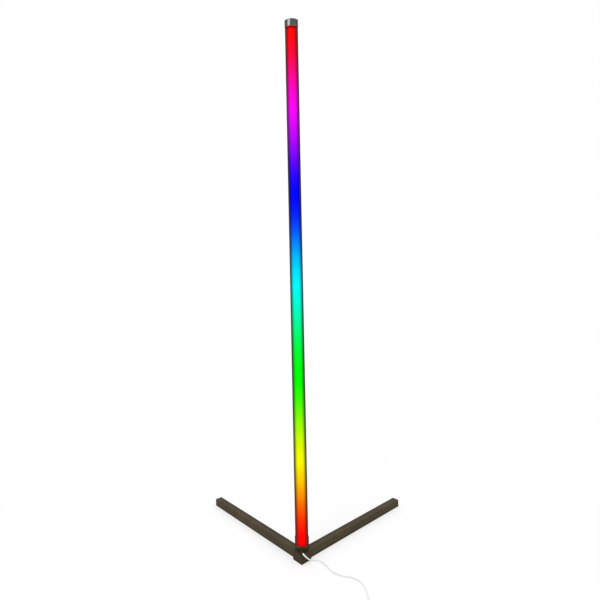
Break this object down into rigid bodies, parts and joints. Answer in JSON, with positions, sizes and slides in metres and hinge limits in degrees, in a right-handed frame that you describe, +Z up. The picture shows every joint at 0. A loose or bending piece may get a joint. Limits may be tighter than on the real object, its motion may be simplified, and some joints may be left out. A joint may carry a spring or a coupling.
{
  "type": "corner floor lamp",
  "caption": "Slim corner floor lamp: a lit quarter-round column with a dark metal cap stands on a low corner base of two straight floor legs, with a thin power cord.",
  "frame": {"origin": "on the floor, under the column's axis, which is also the middle of the corner block", "axes": "+Z up along the column, +X along the right leg, +Y along the left leg; the light faces the front corner between -X and -Y"},
  "size_m": [0.4598, 0.5783, 1.2],
  "materials": {
    "leg_paint": "satin dark bronze powder coat",
    "end_cap_paint": "satin dark bronze, slightly lighter",
    "screw_steel": "plain zinc-plated steel",
    "pad_rubber": "matt black rubber",
    "profile_black": "black anodised aluminium",
    "key_aluminium": "plain extruded aluminium",
    "strip_board": "white flexible circuit strip",
    "chip_body": "pale chip body with a clear round window",
    "diffuser_milky": "milky translucent plastic, lit from inside in a run of hues",
    "cap_chrome": "dark gunmetal chrome",
    "socket_plastic": "matt black-brown plastic",
    "wire_insulation": "glossy wire insulation",
    "cord_white": "soft white cord jacket",
    "tie_black": "woven black hook-and-loop tie",
    "controller_white": "smooth white moulding",
    "board_green": "green solder resist",
    "button_grey": "grey silicone rubber",
    "plug_steel": "folded nickel-plated steel",
    "insert_plastic": "white insulating plastic",
    "contact_gold": "gold-plated contacts"
  },
  "bodies": {
    "lamp": {"corner_block": "leg_paint", "socket_bracket": "leg_paint", "bracket_screws": "screw_steel", "socket_screws": "screw_steel", "leg_tube_right": "leg_paint", "leg_tube_left": "leg_paint", "leg_end_cap_right": "end_cap_paint", "leg_end_cap_left": "end_cap_paint", "leg_screws_right": "screw_steel", "leg_screws_left": "screw_steel", "foot_pad_corner": "pad_rubber", "foot_pad_right": "pad_rubber", "foot_pad_left": "pad_rubber", "profile_lower": "profile_black", "profile_middle": "profile_black", "profile_upper": "profile_black", "joint_key_lower": "key_aluminium", "joint_key_upper": "key_aluminium", "joint_grub_screws": "screw_steel", "light_strip": "strip_board", "light_chips": "chip_body", "diffuser": "diffuser_milky", "top_cap": "cap_chrome", "bottom_cap": "socket_plastic", "feed_wires": "wire_insulation", "strain_relief": "cord_white", "cord_lead": "cord_white", "cord_coil": "cord_white", "cord_link": "cord_white", "cord_tail": "cord_white", "coil_tie": "tie_black", "controller_shell_lower": "controller_white", "controller_shell_upper": "controller_white", "controller_grommets": "cord_white", "controller_board": "board_green", "controller_wires": "wire_insulation", "controller_screws": "screw_steel", "plug_body": "controller_white", "plug_shell": "plug_steel", "plug_insert": "insert_plastic", "plug_contacts": "contact_gold"},
    "power_button": {"button_power": "button_grey"},
    "mode_button": {"button_mode": "button_grey"},
    "speed_button": {"button_speed": "button_grey"}
  },
  "joints": [
    {"name": "power_press", "type": "slide", "parent": "lamp", "child": "power_button", "axis": [0, 0, -1], "range_m": [0, 0.0005], "stiffness_N_per_m": 300},
    {"name": "mode_press", "type": "slide", "parent": "lamp", "child": "mode_button", "axis": [0, 0, -1], "range_m": [0, 0.0005], "stiffness_N_per_m": 300},
    {"name": "speed_press", "type": "slide", "parent": "lamp", "child": "speed_button", "axis": [0, 0, -1], "range_m": [0, 0.0005], "stiffness_N_per_m": 300}
  ]
}
